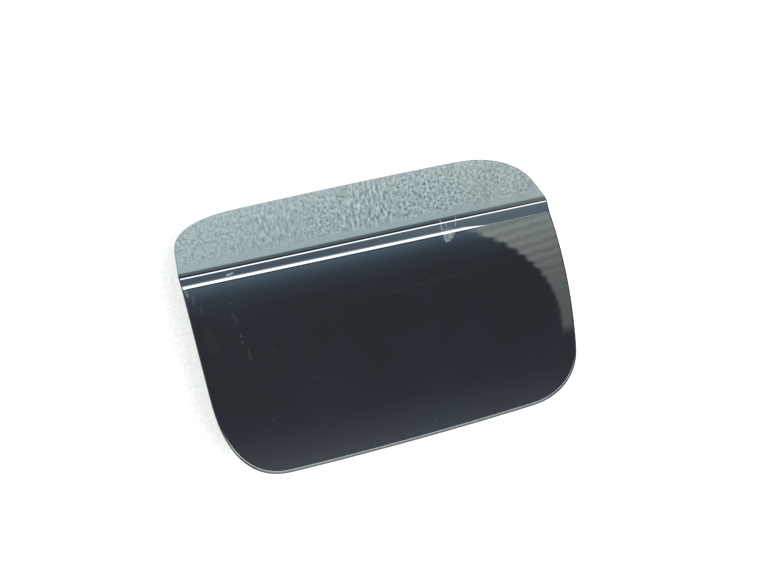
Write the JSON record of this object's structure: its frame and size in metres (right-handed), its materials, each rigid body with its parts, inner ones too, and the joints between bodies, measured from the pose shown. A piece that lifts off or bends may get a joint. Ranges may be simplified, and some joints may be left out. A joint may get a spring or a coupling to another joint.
{
  "type": "car fuel door",
  "caption": "Hemmed sheet steel fuel door with a raised crease and a tilted rear strip, on a sprung side hinge with a lock tongue.",
  "frame": {"origin": "centre of the bounding box on the plane that the part lies on, face up", "axes": "+X along the crease towards the hinge side, +Y towards the tilted rear strip, +Z out of the painted face"},
  "size_m": [0.1903, 0.1528, 0.0264],
  "materials": {
    "black_paint": "gloss clear coat",
    "panel_ecoat": "satin electrocoat",
    "arm_ecoat": "satin electrocoat",
    "nylon": "moulded, fine grain",
    "acetal": "smooth",
    "zinc_steel": "zinc plated",
    "pin_steel": "ground",
    "spring_steel": "oiled spring wire",
    "rubber": "matte",
    "mastic": "matte"
  },
  "bodies": {
    "base": {"hinge_base": "nylon", "sleeve_front": "zinc_steel", "sleeve_rear": "zinc_steel", "hinge_pin": "pin_steel", "pin_clip": "spring_steel", "torsion_spring": "spring_steel", "stop_pad_front": "rubber", "stop_pad_rear": "rubber"},
    "door": {"outer_skin": "black_paint", "inner_panel": "panel_ecoat", "flutter_pad_1": "mastic", "flutter_pad_2": "mastic", "flutter_pad_3": "mastic", "flutter_pad_4": "mastic", "hinge_arm": "arm_ecoat", "bush_front": "acetal", "bush_rear": "acetal", "arm_screws": "zinc_steel", "weld_nuts": "zinc_steel", "lock_striker": "zinc_steel", "striker_rivets": "zinc_steel", "buffer_front": "rubber", "buffer_rear": "rubber", "cap_holder": "nylon", "holder_rivets": "zinc_steel"}
  },
  "joints": [
    {"name": "door_hinge", "type": "hinge", "parent": "base", "child": "door", "pos_m": [0.07525, -0.00551, 0.0114], "axis": [0, 1, 0], "range_deg": [0, 95], "stiffness_Nm_per_rad": 0.12, "springref_deg": -68.75, "deforming": ["torsion_spring"]}
  ]
}
